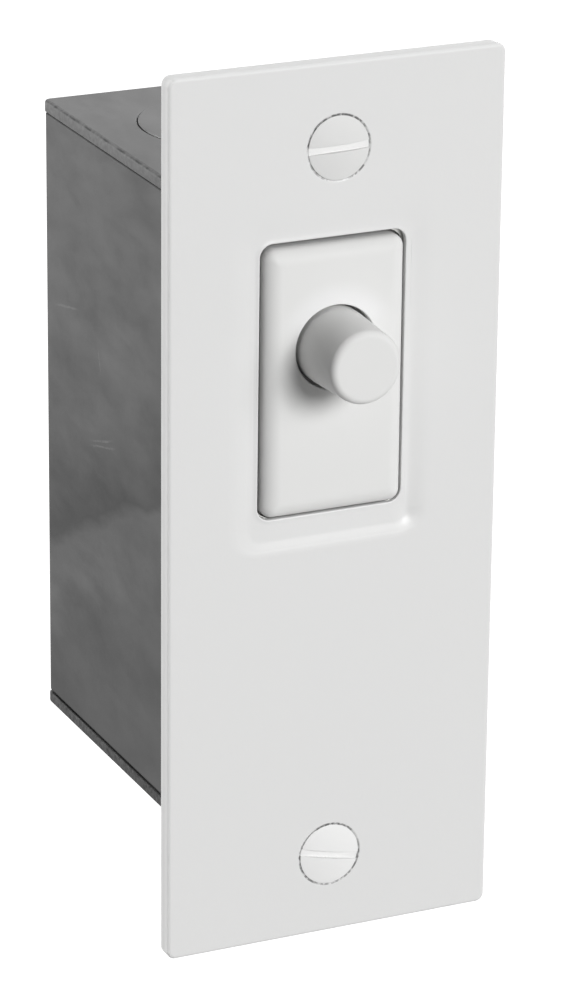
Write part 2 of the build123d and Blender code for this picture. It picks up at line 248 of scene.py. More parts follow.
def makeFaceplate(s):
    # edge, panel and seats are profiles carried round their outlines; flat regions fill the rest
    width, height = (plateHigh - plateLow)[[0, 2]]
    front, inner = plateFront, plateFront + s["sheet"]
    lead = s["lead"]
    shell = Shell()

    def outline(inset):
        return roundedLoop(width - 2 * inset, height - 2 * inset, max(s["corner"] - inset, s["leastCorner"]))

    def tray(side, upper, lower, radius, out=0.0):
        # the window, grown by its own margin at the sides, the top and the bottom
        return roundedLoop(s["windowWidth"] + 2 * (side + out), s["windowHeight"] + upper + lower + 2 * out,
                           radius + out, insertShift, insertRaise + (upper - lower) / 2, s["cornerSteps"])

    def window(out):
        return tray(0, s["windowRaise"], 0, s["windowCorner"], out)

    edge, rim, fillet = s["edge"], s["rim"], s["innerFillet"]
    edgeProfile = chain(
        (edge + lead, front),
        arcPoints(edge, front + edge, edge, 270, 180, 10),
        arcPoints(rim, -rim, rim, 180, 90, 4),
        arcPoints(s["sheet"] - rim, -rim, rim, 90, 0, 4),
        arcPoints(s["sheet"] + fillet, inner + fillet, fillet, 180, 270, 5),
        (s["sheet"] + fillet + lead, inner),
    )
    # painted light: the enamel is paler where the sheet turns back, from a little below the front to the rim, fully
    # on the left side; on the other sides the mark only roughens it
    turned = unit((edgeProfile[:, 1] - front) / (edge * s["paleBelow"]))
    turned *= (edgeProfile[:, 0] < edge + lead / 2) & (edgeProfile[:, 1] < -rim)
    onLeft = outline(0)[:, 0] < plateLow[0] + s["corner"] / 2
    shell.carried(edgeProfile, outline, wear=np.outer(turned, np.where(onLeft, s["leftMark"], s["otherMark"])))

    # the slope runs from brim over shoulder to foot, and gets steeper until just before the foot
    brim, shoulder, foot = (tray(**s[name]) for name in ("brim", "shoulder", "foot"))
    margin = tray(**s["brim"], out=lead)
    share = np.linspace(0, 1, s["slopeSteps"] + 1)
    steep = np.minimum(np.minimum(share / s["brimSoft"], (1 - share) / s["footSoft"]), 1)
    fall = np.append(0, np.cumsum((steep[1:] + steep[:-1]) / 2))
    fall *= s["panelDepth"] / fall[-1]

    def eased(loop):
        # share of the depth that is left at each height, less towards the top
        rise = unit((loop[:, 1] - s["easeFrom"]) / (s["easeTo"] - s["easeFrom"]))
        return 1 - s["topEase"] * rise * rise * (3 - 2 * rise)

    def dented(rows):
        # the press left one corner deeper: a bell, steep below its middle and long above it
        d = s["dent"]
        rise = rows[..., 2] - d["z"]
        tall = np.where(rise > 0, d["above"], d["below"])
        bell = ((rows[..., 0] - d["x"]) / d["wide"]) ** 2 + (rise / tall) ** 2
        press = unit(np.exp(-bell) - d["cut"]) / (1 - d["cut"])
        return rows + [0, 1, 0] * (d["depth"] * press)[..., None]

    def slopeRows(level):
        outer, inward = unit(2 * share), unit(2 * share - 1)
        loops = [brim + (shoulder - brim) * a + (foot - shoulder) * b for a, b in zip(outer, inward)]
        return [frontPlace(loop, level + drop * eased(loop)) for loop, drop in zip(loops, fall)]

    floor, floorBack = front + s["panelDepth"], inner + s["panelDepth"]
    lip, back = s["windowEdge"], s["windowBack"]

    def lipRow(out, depth, raised):
        # the lip stands up a little round the window, most on the left
        loop = window(out)
        toRight = unit(0.5 + (loop[:, 0] - insertShift) / s["windowWidth"])
        crest = s["lipLeft"] + (s["lipRight"] - s["lipLeft"]) * toRight
        return frontPlace(loop, depth - s["panelDepth"] * (1 - eased(loop)) - raised * crest)

    reach = np.linspace(0, 1, s["lipSteps"] + 1)
    lipRows = [lipRow(s["lipReach"] + (lip - s["lipReach"]) * k, floor, k * k) for k in reach]
    lipRows += [lipRow(out, depth, 1) for out, depth in arcPoints(lip, floor + lip, lip, 270, 180, 5)[1:]]
    lipRows += [lipRow(out, depth, 0) for out, depth in arcPoints(back, floorBack - back, back, 180, 90, 3)]
    fore = dented(np.stack([frontPlace(margin, front)] + slopeRows(front) + lipRows))
    rear = np.stack(slopeRows(inner)[::-1] + [frontPlace(margin, inner)])
    shell.grid(np.concatenate([fore, rear]))

    seat, tip = s["seatRadius"], -s["tipGap"]
    slope = (seat - s["seatTip"]) / (tip - front)
    cupRim = seat + s["cupWall"]
    cupInner = cupRim - slope * s["sheet"]
    soft, fill = s["seatEdge"], s["cupFillet"]
    seatProfile = chain(
        (seat + soft + lead, front),
        softCorner((seat + soft, front), (seat, front), (seat - slope * soft, front + soft)),
        (s["seatTip"], tip), (cupRim - slope * (tip - front), tip),
        softCorner((cupInner - slope * fill, inner + fill), (cupInner, inner), (cupInner + fill, inner)),
        (cupInner + fill + lead, inner),
    )
    for place in screwHeights:
        shell.carried(seatProfile, lambda radius: circleLoop(radius, 0, place))

    for row, depth in ((0, front), (-1, inner)):
        seats = [circleLoop(seatProfile[row][0], 0, place) for place in screwHeights]
        shell.flat([outline(edgeProfile[row][0]), margin] + seats, depth)
    return shell.build("faceplate_pressed")


faceplate = settle(makeFaceplate(plateShape), "housing", "white_enamel", "faceplate")


# Faceplate screws: oval heads with a slot, cone seats and a rolled thread

screwShape = dict(
    headRadius=4.1, dome=0.44, domeRows=22, headEdge=0.12, shankRadius=2.08, tipGap=0.1, tipChamfer=0.6,
    slotWidth=0.95, slotDepth=0.56, slotAbove=1.0, tilts=(1.8, -12.3),
    pitch=0.794, threadDepth=0.38, threadRows=8, steps=72,
)


def screwSurface(s, height):
    # head and cone are turned; the thread is a radius that ripples with depth / pitch less the share of a turn
    front, tip, wide, shank = plateFront, screwHigh[1], s["headRadius"], s["shankRadius"]
    top, soft = front - s["dome"], s["headEdge"]
    sphere = (wide ** 2 + s["dome"] ** 2) / (2 * s["dome"])
    r = np.linspace(0, wide - soft, s["domeRows"])
    dome = np.stack([r, top + sphere - np.sqrt(sphere ** 2 - r ** 2)], -1)
    start, stop = -s["tipGap"], tip - s["tipChamfer"]
    slope = (wide - shank) / (start - front)
    edge = softCorner(dome[-1], (wide, front), (wide - slope * soft, front + soft), 4)
    head = lathe(chain(dome, edge, (shank, start)), height, s["steps"])
    rows = int((stop - start) / s["pitch"] * s["threadRows"])
    depth = np.linspace(start, stop, rows)[:, None]
    turn = fullTurn(s["steps"])
    ripple = 0.5 - 0.5 * np.cos(2 * np.pi * depth / s["pitch"] - turn)
    fade = unit((depth - start) / (2 * s["pitch"])) * unit((stop - depth) / s["pitch"])
    radius = shank - s["threadDepth"] * ripple * fade
    thread = np.stack([radius * np.cos(turn), depth + 0 * turn, height + radius * np.sin(turn)], -1)
    tipProfile = chain((shank, stop), (shank - s["tipChamfer"], tip), (0, tip))
    return np.concatenate([head, thread[1:], lathe(tipProfile, height, s["steps"])[1:]])


def cutBy(piece, cutter):
    # takes the cutter out of the piece's mesh
    tool = piece.modifiers.new("cut", "BOOLEAN")
    tool.operation, tool.solver, tool.object = "DIFFERENCE", "EXACT", cutter
    bpy.context.view_layer.update()
    solid = bpy.data.meshes.new_from_object(piece.evaluated_get(bpy.context.evaluated_depsgraph_get()))
    piece.modifiers.clear()
    piece.data = solid
    bpy.data.objects.remove(cutter)
    solid.shade_smooth()
    solid.set_sharp_from_angle(angle=math.radians(sharpAngle))


def makeScrews(s):
    # two turned screws, each with a slot cut by a bar that starts above the dome
    shell, slots = Shell(), Shell()
    top = plateFront - s["dome"]
    depths = (top - s["slotAbove"], top + s["slotDepth"])
    for height, tilt in zip(screwHeights, s["tilts"]):
        shell.grid(screwSurface(s, height))
        bar = np.array([(1, 1), (-1, 1), (-1, -1), (1, -1)]) * [2 * s["headRadius"], s["slotWidth"] / 2]
        lean = math.radians(tilt)
        turnBy = np.array([[math.cos(lean), math.sin(lean)], [-math.sin(lean), math.cos(lean)]])
        bar = bar @ turnBy + [0, height]
        slots.grid(np.stack([frontPlace(bar, depth) for depth in depths]))
        for depth in depths:
            slots.add(frontPlace(bar, depth), [(0, 1, 2, 3)])
    screws = shell.build("faceplate_screws_slotted")
    cutBy(screws, slots.build("slot_cutter"))
    return screws


screws = settle(makeScrews(screwShape), "housing", "white_enamel", "faceplate_screws")


# Insert: moulded cover with a rounded nose in the window, a bore for the plunger and a flange behind

insertShape = dict(
    width=18.7, height=34.4, corner=1.5, leastCorner=0.35, edgeWidth=2.1, edgeDepth=1.6, edgeSteps=14,
    wall=2.0, innerCorner=0.7, lead=0.15, boreRadius=5.4, boreEdge=0.18, boreSteps=96,
    flangeCorner=1.5, flangeEdge=0.3, rivetOffset=19.6, rivetRadius=1.28, rivetSteps=24,
)


def makeInsert(s):
    # nose, flange and bore are profiles carried round their outlines, closed by flat regions
    width, length = (coverHigh - coverLow)[[0, 2]]
    front, back, ceiling = insertFront, coverHigh[1], insertFront + s["wall"]
    lead, soft, rim = s["lead"], s["flangeEdge"], s["boreEdge"]
    shell = Shell()

    def centred(wide, high, inset, corner):
        return roundedLoop(wide - 2 * inset, high - 2 * inset, corner, insertShift, insertRaise)

    def nose(inset):
        return centred(s["width"], s["height"], inset, max(s["corner"] - inset, s["leastCorner"]))

    def flange(inset):
        return centred(width, length, inset, s["flangeCorner"] - inset)

    def hollow(inset):
        return centred(s["width"], s["height"], s["wall"] + inset, s["innerCorner"])

    def bore(radius):
        return circleLoop(radius, insertShift, plungerHeight, s["boreSteps"])

    rivetHeights = (insertRaise + s["rivetOffset"], insertRaise - s["rivetOffset"])
    rivets = [circleLoop(s["rivetRadius"], insertShift, place, s["rivetSteps"]) for place in rivetHeights]
    rounding = arcPoints(1, 1, 1, 270, 180, s["edgeSteps"]) * [s["edgeWidth"], s["edgeDepth"]] + [0, front]
    noseProfile = chain((s["edgeWidth"] + lead, front), rounding, (0, 0))
    flangeProfile = sheetEdge(back, soft, soft, lead)
    boreProfile = chain(
        (s["boreRadius"] + rim + lead, front),
        arcPoints(s["boreRadius"] + rim, front + rim, rim, 270, 180, 5),
        (s["boreRadius"], ceiling),
    )
    shell.carried(noseProfile, nose)
    shell.carried(flangeProfile, flange)
    shell.carried(boreProfile, bore)
    shell.carried(np.array([(0, ceiling), (0, back)]), hollow)
    for loop in rivets:
        shell.grid(np.stack([frontPlace(loop, 0), frontPlace(loop, back)]))
    shell.flat([nose(noseProfile[0][0]), bore(boreProfile[0][0])], front)
    shell.flat([flange(soft + lead), nose(0)] + rivets, 0)
    shell.flat([flange(soft + lead), hollow(0)] + rivets, back)
    shell.flat([hollow(0), bore(s["boreRadius"])], ceiling)
    return shell.build("switch_insert")


insert = settle(makeInsert(insertShape), "housing", "white_moulding", "switch_cover")


# Plunger: tapered button, collar that stops it behind the insert, stem and square neck

plungerShape = dict(
    tipRadius=4.65, baseRadius=5.0, tipRounding=0.9, tipLead=0.2, steps=120,
    collarFront=-1.3, collarBack=0.3, collarEdge=0.2, stemRadius=2.75, stemFillet=0.5,
    neckWidth=3.4, neckCorner=0.3, neckSteps=4, neckLead=0.05, neckChamfer=0.4, neckRoot=0.6,
)


def makePlunger(s):
    # a turned profile with a round tip that runs into the taper, and a square bar for the neck
    front, shoulder = plungerLow[1], bridgeFront
    collar, soft, fill = (plungerHigh - plungerLow)[0] / 2, s["collarEdge"], s["stemFillet"]
    taper = (s["baseRadius"] - s["tipRadius"]) / (insertFront - front)
    rounding = s["tipRounding"]
    lean = math.degrees(math.atan(taper))
    centre = s["tipRadius"] + taper * rounding - rounding * math.hypot(1, taper)
    profile = chain(
        (0, front), (centre - s["tipLead"], front),
        arcPoints(centre, front + rounding, rounding, -90, -lean, 12),
        (s["baseRadius"], insertFront), (s["baseRadius"], s["collarFront"]),
        arcPoints(collar - soft, s["collarFront"] + soft, soft, -90, 0, 3),
        arcPoints(collar - soft, s["collarBack"] - soft, soft, 0, 90, 3),
        arcPoints(s["stemRadius"] + fill, s["collarBack"] + fill, fill, 270, 180, 4),
        (s["stemRadius"], shoulder), (0, shoulder),
    )
    shell = Shell()
    shell.grid(lathe(profile, plungerHeight, s["steps"], insertShift))
    chamfer, tail = s["neckChamfer"], plungerHigh[1]

    def neck(inset):
        width = s["neckWidth"] - 2 * inset
        return roundedLoop(width, width, s["neckCorner"], insertShift, plungerHeight, s["neckSteps"], s["neckLead"])

    neckProfile = np.array([(0, shoulder - s["neckRoot"]), (0, tail - chamfer), (chamfer, tail)])
    shell.carried(neckProfile, neck)
    shell.flat([neck(0)], neckProfile[0][1])
    shell.flat([neck(chamfer)], tail)
    return shell.build("plunger_button")


plunger = settle(makePlunger(plungerShape), "plunger", "white_moulding", "plunger")


# Return spring: round wire on a helix, with closer coils at both ends

springShape = dict(
    radius=2.95, wire=0.32, turns=6.5, endTurns=1.2, easeTurns=0.6, endPitch=0.72,
    stepsPerTurn=48, around=14, sharp=60,
)


def makeSpring(s):
    # centre line (cos, sin) times the radius; depth is the running sum of a pitch that is small at the ends
    low, high = springLow[1] + s["wire"], springHigh[1] - s["wire"]
    turns = np.linspace(0, s["turns"], int(s["turns"] * s["stepsPerTurn"]) + 1)
    fromEnd = np.minimum(turns, s["turns"] - turns)
    spread = unit((fromEnd - s["endTurns"] + s["easeTurns"] / 2) / s["easeTurns"])
    spread = spread * spread * (3 - 2 * spread)
    step = turns[1]
    active = ((high - low) - s["endPitch"] * s["turns"]) / (np.sum((spread[1:] + spread[:-1]) / 2) * step)
    pitch = s["endPitch"] + active * spread
    depth = low + np.append(0, np.cumsum((pitch[1:] + pitch[:-1]) / 2 * step))
    turn = 2 * np.pi * turns
    outward = np.stack([np.cos(turn), 0 * turn, np.sin(turn)], -1)
    line = s["radius"] * outward + np.stack([insertShift + 0 * turn, depth, plungerHeight + 0 * turn], -1)
    ahead = np.gradient(line, axis=0)
    ahead /= np.linalg.norm(ahead, axis=1, keepdims=True)
    across = np.cross(ahead, outward)
    spin = fullTurn(s["around"])[None, :, None]
    tube = line[:, None] + s["wire"] * (np.cos(spin) * outward[:, None] + np.sin(spin) * across[:, None])
    shell = Shell()
    ends = np.broadcast_to(line[[0, -1], None], (2, s["around"], 3))
    shell.grid(np.concatenate([ends[:1], tube, ends[1:]]))
    return shell.build("return_spring_coil", s["sharp"])


spring = settle(makeSpring(springShape), "housing", "strap_steel", "return_spring")
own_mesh(spring)


# Box body: one sheet bent into a channel, with tabs inside that hold the ends

bodyShape = dict(
    sheet=1.1, outerBend=1.15, bendSteps=10, lead=0.3, edge=0.4, upperEdge=0.2, innerEdge=0.15, edgeSteps=5,
    edgeLead=0.12, seamUpper=0.05, seamLower=0.2, upperGrimeShade=0.6, grimeShadeReach=0.9,
    tabWidth=3.4, tabSetback=6.0, tabEdge=0.2, tabSteps=4, tabLead=0.05,
)


def makeBoxBody(s):
    # the sheet's section carried along a U seen from above: side, bend, back, bend, side
    width, height = (bodyHigh - bodyLow)[[0, 2]]
    mouth, back, bend, lead, steps = bodyLow[1], bodyHigh[1], s["outerBend"], s["lead"], s["bendSteps"]
    lefts = np.concatenate([
        [(-width / 2, mouth), (-width / 2, back - bend - lead)],
        arcPoints(bend - width / 2, back - bend, bend, 180, 90, steps),
        [(bend - width / 2 + lead, back)],
    ])
    inward = np.concatenate([[(1, 0)] * 2, arcPoints(0, 0, 1, 0, -90, steps), [(0, -1)]])
    path = np.concatenate([lefts, lefts[::-1] * [-1, 1]])
    inward = np.concatenate([inward, inward[::-1] * [-1, 1]])
    radii = (s["innerEdge"], s["upperEdge"], s["edge"], s["innerEdge"])
    tall, raised = height - s["seamUpper"] - s["seamLower"], (s["seamLower"] - s["seamUpper"]) / 2
    section = roundedLoop(s["sheet"], tall, radii, s["sheet"] / 2, raised, s["edgeSteps"], s["edgeLead"])
    # dirt and painted shade sit on the two outer edges of the sheet, at the seams with the ends, less of them on
    # the upper one
    reach = s["grimeShadeReach"] * np.where(section[:, 1] > 0, s["upperEdge"], s["edge"])
    corner = (section[:, 0] < reach) & (np.abs(section[:, 1] - raised) > tall / 2 - reach)
    wornAndShaded = np.where(section[:, 1] > 0, s["upperGrimeShade"], 1) * corner

    def across(loop, k):
        flat = path[k] + loop[:, :1] * inward[k]
        return np.column_stack([flat, loop[:, 1]])

    rows = np.stack([across(section, k) for k in range(len(path))])
    shell = Shell()
    shell.grid(rows, wear=np.tile(wornAndShaded, (len(path), 1)))
    for k in (0, len(path) - 1):
        shell.flat([section], k, across)
    tabBack = back - bend - s["tabSetback"]
    for sideX in (1, -1):
        for sideZ in (1, -1):
            x = sideX * (width / 2 - s["sheet"] - s["tabWidth"] / 2)
            z = sideZ * (height / 2 - s["sheet"] / 2)
            tab = roundedLoop(s["tabWidth"], s["sheet"], s["tabEdge"], x, z, s["tabSteps"], s["tabLead"])
            shell.grid(np.stack([frontPlace(tab, s["tabSetback"]), frontPlace(tab, tabBack)]))
            shell.flat([tab], s["tabSetback"])
            shell.flat([tab], tabBack)
    return shell.build("box_channel")


boxBody = settle(makeBoxBody(bodyShape), "housing", "box_steel", "box_body")


# Box ends: a flat pattern with a knockout, bent up at the front into the ear that the faceplate screws into

endShape = dict(
    sheet=1.6, bend=0.8, bendSteps=8, edge=0.42, edgeSteps=6, innerEdge=0.15, lead=0.12,
    backCorner=0.8, backSteps=8, leastCorner=0.05, earWidth=30.0, earCorner=4.0, earSteps=10, straight=0.3,
    notchLead=0.2, notchCut=0.05, screwHole=2.13, anchorHole=2.25, anchorSide=11.0, anchorBeyond=2.8,
    holeEdge=0.15, holeSteps=40, knockRadius=12.3, knockSet=19.1, knockSteps=96,
    grooveWidth=0.2, grooveLeast=0.03, grooveFrom=0.55, grooveFull=0.95, grooveDepth=1.0, grooveEdge=0.05,
    slugRaise=0.04, slugTilt=0.05, slugLean=172,
    edgeMark=0.74, markAt=0.35, markSpread=0.45, bandMark=0.35,
)


def makeBoxEnd(s, side, name):
    # x runs across the pattern and u along the sheet from the back edge; the bend turns u into an angle
    width, sheet, bend = bodyHigh[0] - bodyLow[0], s["sheet"], s["bend"]
    back, top, outside = endHigh[1], endHigh[2], endLow[2] + sheet
    bendStart = back - sheet - bend
    bendLength = (bend + sheet / 2) * np.pi / 2
    earBase = outside + bend
    earTop = bendStart + bendLength + top - earBase
    bendRows = bendStart + bendLength * np.linspace(0, 1, s["bendSteps"] + 1)

    def folded(loop, t):
        # t is the depth below the outer face; before the bend u runs forward, past it u runs up the ear
        x, u = loop[:, 0], loop[:, 1]
        turn = unit((u - bendStart) / bendLength) * np.pi / 2
        past = np.maximum(u - bendStart - bendLength, 0)
        y = np.where(u < bendStart, back - u, sheet + bend - (bend + t) * np.sin(turn))
        z = np.where(u < bendStart, outside - t, outside + bend - (bend + t) * np.cos(turn) + past)
        return np.stack([x, y, side * z], -1)

    def beforeBend(inset):
        # right half of the pattern: back edge, round corner, side, notch
        half, notch, lead, cut = width / 2 - inset, bendStart - inset, s["notchLead"], s["notchCut"]
        radius = max(s["backCorner"] - inset, s["leastCorner"])
        return np.concatenate([
            [(half - radius - s["straight"], inset)],
            arcPoints(half - radius, inset + radius, radius, -90, 0, s["backSteps"]),
            [(half, inset + radius + s["straight"]), (half, notch - lead), (half - cut, notch - cut),
             (half - lead, notch), (s["earWidth"] / 2 - inset, notch)],
        ])

    def pattern(inset):
        # the right half goes on over the bend and round the ear, and the left half mirrors it
        ear, radius, earEnd = s["earWidth"] / 2 - inset, s["earCorner"] - inset, earTop - inset
        right = np.concatenate([
            beforeBend(inset),
            np.stack([np.full(len(bendRows), ear), bendRows], -1),
            [(ear, earEnd - radius - s["straight"])],
            arcPoints(ear - radius, earEnd - radius, radius, 0, 90, s["earSteps"]),
            [(ear - radius - s["straight"], earEnd)],
        ])
        return np.concatenate([right, right[::-1] * [-1, 1]])

    # cuts straight across the bend keep its triangles in rows
    size, first = len(pattern(0)), len(beforeBend(0))
    bars = [(k, size - 1 - k) for k in range(first, first + len(bendRows))]
    edge, inner, lead = s["edge"], s["innerEdge"], s["lead"]
    edgeProfile = sheetEdge(sheet, edge, inner, lead, s["edgeSteps"])
    # the mark is most on the rounded edge, which is darkened there in patches, and some of it lies on the sheared
    # band below, which it darkens as painted shade
    wornAndShaded = s["edgeMark"] * np.exp(-((edgeProfile[:, 1] - edge * s["markAt"]) / (edge * s["markSpread"])) ** 2)
    wornAndShaded = np.maximum(wornAndShaded, s["bandMark"] * (edgeProfile[:, 0] < inner))
    wornAndShaded[0] = 0
    shell = Shell()
    shell.carried(edgeProfile, pattern, folded, wornAndShaded)
    screwAt = bendStart + bendLength + screwHeight - earBase
    spots = [(0, screwAt, s["screwHole"])]
    spots += [(x, screwAt + s["anchorBeyond"], s["anchorHole"]) for x in (s["anchorSide"], -s["anchorSide"])]
    soft = s["holeEdge"]
    holeProfile = sheetEdge(sheet, soft, soft, lead)
    rims = []
    for x, u, radius in spots:
        shell.carried(holeProfile, lambda out: circleLoop(radius + out, x, u, s["holeSteps"]), folded)
        rims.append(circleLoop(radius + soft + lead, x, u, s["holeSteps"]))

    # the slug stands a little proud, most on the side that it leans to, and the groove is widest there
    lean = math.radians(s["slugLean"])
    outer, groove, soft = s["knockRadius"], s["grooveDepth"], s["grooveEdge"]
    turn = fullTurn(s["knockSteps"])
    wide = unit((np.cos(turn - lean) - s["grooveFrom"]) / (s["grooveFull"] - s["grooveFrom"]))
    slugRadius = outer - s["grooveLeast"] - (s["grooveWidth"] - s["grooveLeast"]) * wide

    def slugPlace(loop, t):
        along = (loop[:, 0] * math.cos(lean) + (loop[:, 1] - s["knockSet"]) * math.sin(lean)) / outer
        place = folded(loop, t)
        place[:, 2] += side * (s["slugRaise"] + s["slugTilt"] * along) * (1 - t / groove)
        return place

    def ring(radius):
        return circleLoop(radius, 0, s["knockSet"], s["knockSteps"])

    def slug(inset):
        return ring(slugRadius - inset)

    wallProfile = chain((outer + soft + lead, 0), arcPoints(outer + soft, soft, soft, 270, 180, 3), (outer, groove))
    wallRows = [folded(ring(radius), t) for radius, t in wallProfile]
    shell.grid(np.stack(wallRows + [folded(slug(0), groove)]))
    shell.carried(chain((0, groove), arcPoints(soft, soft, soft, 180, 270, 3), (soft + lead, 0)), slug, slugPlace)
    shell.flat([slug(soft + lead)], 0, slugPlace)
    shell.flat([pattern(edge + lead), ring(outer + soft + lead)] + rims, 0, folded, bars)
    shell.flat([pattern(inner + lead)] + rims, sheet, folded, bars)
    return shell.build(name)


boxEndUpper = settle(makeBoxEnd(endShape, 1, "box_end_top"), "housing", "box_steel", "box_end_upper")
boxEndLower = settle(makeBoxEnd(endShape, -1, "box_end_bottom"), "housing", "box_steel", "box_end_lower")


# Finishes

class Wire:
    # a node's output that takes arithmetic: every operator adds a Math node to the same tree

    def __init__(self, tree, socket):
        self.tree, self.socket = tree, socket

    def maths(self, operation, *values):
        return addNode(self.tree, "ShaderNodeMath", dict(operation=operation), dict(enumerate(values)))

    def __add__(self, other):
        return self.maths("ADD", self, other)

    def __sub__(self, other):
        return self.maths("SUBTRACT", self, other)

    def __rsub__(self, other):
        return self.maths("SUBTRACT", other, self)

    def __mul__(self, other):
        return self.maths("MULTIPLY", self, other)

    def __gt__(self, other):
        return self.maths("GREATER_THAN", self, other)

    def __lt__(self, other):
        return self.maths("LESS_THAN", self, other)

    def __abs__(self):
        return self.maths("ABSOLUTE", self)

    __radd__, __rmul__ = __add__, __mul__


def addNode(tree, kind, settings=(), sockets=(), out=0):
    # settings come first, as they can change the sockets; a ramp's stops are (position, value), and a colour is a
    # grey level or (red, green, blue)
    node = tree.nodes.new(kind)
    for key, value in dict(settings).items():
        if key == "stops":
            ramp = node.color_ramp.elements
            while len(ramp) < len(value):
                ramp.new(0.5)
            for stop, (position, level) in zip(ramp, value):
                stop.position, stop.color = position, (level, level, level, 1)
        else:
            setattr(node, key, value)
    for key, value in dict(sockets).items():
        socket = node.inputs[key]
        if isinstance(value, Wire):
            tree.links.new(value.socket, socket)
        elif socket.type == "RGBA":
            socket.default_value = (*np.broadcast_to(value, 3), 1)
        else:
            socket.default_value = value
    return Wire(tree, node.outputs[out])


def endTree(tree, kind, shader):
    # the tree's output node, fed by the shader
    output = tree.nodes.new(kind)
    tree.links.new(shader.socket, output.inputs["Surface"])


class Finish:
    # one material: patterns on object coordinates, and one shader at the end

    def __init__(self, name):
        self.material = bpy.data.materials.new(name)
        self.material.use_nodes = True
        self.tree = self.material.node_tree
        self.tree.nodes.clear()
        self.place = self.node("ShaderNodeTexCoord", out="Object")

    def node(self, kind, settings=(), sockets=(), out=0):
        return addNode(self.tree, kind, settings, sockets, out)

    def axes(self, names):
        # the object's own coordinates along the named axes, in mm
        return [self.node("ShaderNodeSeparateXYZ", (), dict(Vector=self.place), name) * (1 / mm) for name in names]

    def wear(self):
        # the mark that Shell keeps on edges, for wear, dirt and painted light and shade
        return self.node("ShaderNodeAttribute", dict(attribute_name="wear"), (), "Fac")

    def stretched(self, scale):
        # coordinates that draw a pattern out along the axes with a small scale
        return self.node("ShaderNodeMapping", (), dict(Vector=self.place, Scale=scale))

    def noise(self, size, detail=3.0, rough=0.5, vector=None):
        # size is the length of one patch in mm
        sockets = dict(Vector=vector or self.place, Scale=1 / (size * mm), Detail=detail, Roughness=rough)
        return self.node("ShaderNodeTexNoise", (), sockets)

    def ramp(self, value, *stops):
        return self.node("ShaderNodeValToRGB", dict(stops=stops), dict(Fac=value))

    def mix(self, amount, a, b, blend="MIX"):
        # amount 0 gives colour a, amount 1 gives colour b, or a times b
        return self.node("ShaderNodeMix", dict(data_type="RGBA", blend_type=blend), {0: amount, 6: a, 7: b}, 2)

    def climb(self, value, low, high, start=0.0, stop=1.0):
        # start below low, stop above high, and a smooth step between them
        settings = dict(interpolation_type="SMOOTHSTEP")
        return self.node("ShaderNodeMapRange", settings, {0: value, 1: low, 2: high, 3: start, 4: stop})

    def fall(self, value, reach, soft):
        # 1 within reach of zero, falling to 0 over the soft margin beyond it
        return self.climb(abs(value), reach, reach + soft, 1.0, 0.0)

    def bump(self, height, distance, strength):
        # the distance is in mm
        return self.node("ShaderNodeBump", (), dict(Height=height, Distance=distance * mm, Strength=strength))

    def twoTone(self, pattern, low, high, rough, spread, **sockets):
        # the pattern carries the colour from low to high, and the roughness up by the spread
        colour = self.mix(pattern, low, high)
        return self.close(Base_Color=colour, Roughness=rough + spread * pattern, **sockets)

    def close(self, **sockets):
        named = {key.replace("_", " "): value for key, value in sockets.items()}
        endTree(self.tree, "ShaderNodeOutputMaterial", self.node("ShaderNodeBsdfPrincipled", (), named))
        return self.material


headRing = dict(radius=4.14, reach=0.09, soft=0.1, patch=0.55, spread=3.2, tone=0.08, cover=0.8)


def gapRingShade(f, s, colour):
    # painted shade: dark dashes in the gap round both screw heads, near the head's radius, broken up by two noises
    x, z = f.axes("XZ")
    rise = abs(z) - screwHeight
    radius = x.maths("SQRT", x * x + rise * rise)
    beads = f.ramp(f.noise(s["patch"], 1), (0.38, 0.25), (0.56, 1))
    runs = f.ramp(f.noise(s["spread"], 1), (0.36, 0.25), (0.5, 1))
    ringShade = f.fall(radius - s["radius"], s["reach"], s["soft"]) * beads * runs
    return f.mix(s["cover"] * ringShade, colour, s["tone"])


enamelShape = dict(
    low=(0.754, 0.755, 0.752), high=(0.76, 0.76, 0.755), paintedEdgeLight=(0.885, 0.885, 0.88), toneSize=40, peelSize=0.9,
    nibSize=0.55, nibShare=0.5, peelDepth=0.016, rough=0.29, roughSpan=0.05, edgeRough=0.25, gloss=0.4,
)


def whiteEnamel(s):
    # baked enamel: faint orange peel, slow changes of tone, a few dust nibs, painted light on the turned left edge,
    # painted shade in the gaps round the screw heads
    f = Finish("white_enamel_baked")
    edge = f.wear()
    peel = f.noise(s["peelSize"], 2, 0.45)
    nibs = f.ramp(f.noise(s["nibSize"], 1), (0.73, 0), (0.79, 1))
    colour = f.mix(f.noise(s["toneSize"], 0), s["low"], s["high"])
    # painted light: the turned left edge is paler
    colour = f.mix(f.ramp(edge, (0.45, 0), (1, 1)), colour, s["paintedEdgeLight"])
    rough = s["rough"] + s["roughSpan"] * f.noise(7, 3) + s["edgeRough"] * f.ramp(edge, (0, 0), (0.4, 1))
    return f.close(Base_Color=gapRingShade(f, headRing, colour), Roughness=rough, Specular_IOR_Level=s["gloss"],
                   Normal=f.bump(peel + s["nibShare"] * nibs, s["peelDepth"], 0.6))


screwPaint = dict(
    low=(0.72, 0.72, 0.715), high=(0.745, 0.745, 0.737), lowerScrewLit=(0.85, 0.85, 0.845), slot=(0.82, 0.82, 0.815),
    slotBelow=0.06, shankFrom=-0.3, zincDull=(0.5, 0.5, 0.48), zincBright=(0.66, 0.65, 0.62),
)


